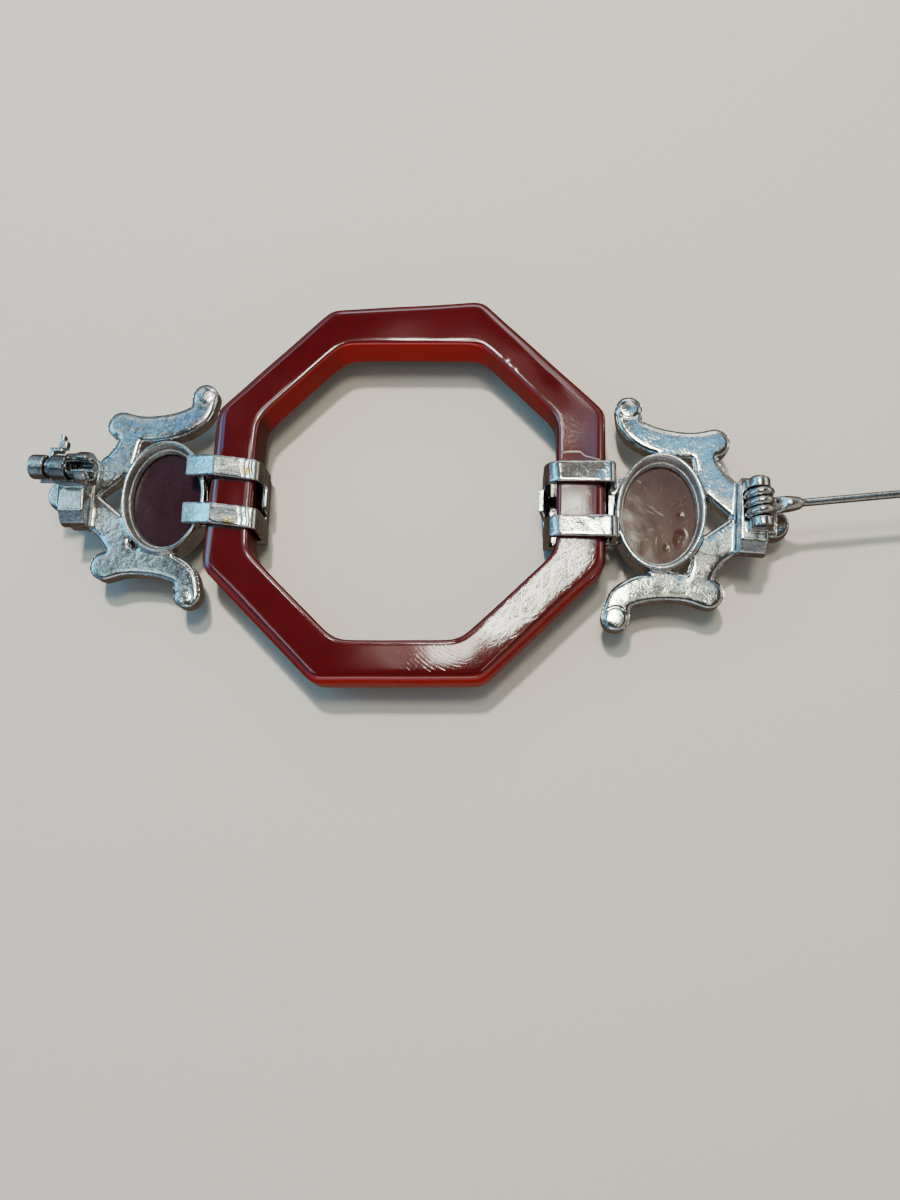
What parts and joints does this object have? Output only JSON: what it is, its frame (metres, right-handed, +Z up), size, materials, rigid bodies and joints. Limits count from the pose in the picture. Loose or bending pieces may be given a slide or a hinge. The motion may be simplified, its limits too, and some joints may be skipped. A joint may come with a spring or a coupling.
{
  "type": "silver brooch with a red octagonal ring",
  "caption": "Brooch lying face down: a dark red octagonal ring strapped to scrolled silver ends with oval stones, a hinged pin and a turning safety catch.",
  "frame": {"origin": "middle of the footprint of the brooch as it lies face down with its pin open, on the surface that it lies on", "axes": "+X from the catch end to the hinge end and on along the open pin, +Y across the brooch, +Z up through its back"},
  "size_m": [0.1784, 0.052, 0.0119],
  "materials": {
    "red_ring": "deep red translucent cast resin, rubbed and finely scratched",
    "silver": "worn polished silver, darker in its recesses",
    "stone": "brownish purple translucent stone, flat matt back",
    "pin_wire": "drawn wire, darkened"
  },
  "bodies": {
    "brooch": {"ring": "red_ring", "catch_end": "silver", "hinge_end": "silver", "stone_catch_end": "stone", "stone_hinge_end": "stone"},
    "pin_arm": {"pin": "pin_wire"},
    "sleeve": {"catch_sleeve": "silver"}
  },
  "joints": [
    {"name": "pin_hinge", "type": "hinge", "parent": "brooch", "child": "pin_arm", "pos_m": [0.00315, -0.00379, 0.00855], "axis": [0.0202, -0.9998, 0], "range_deg": [0, 180]},
    {"name": "catch_turn", "type": "hinge", "parent": "brooch", "child": "sleeve", "pos_m": [-0.0845, 0.00088, 0.0098], "axis": [0.9986, -0.0532, 0], "range_deg": [0, 150]}
  ]
}
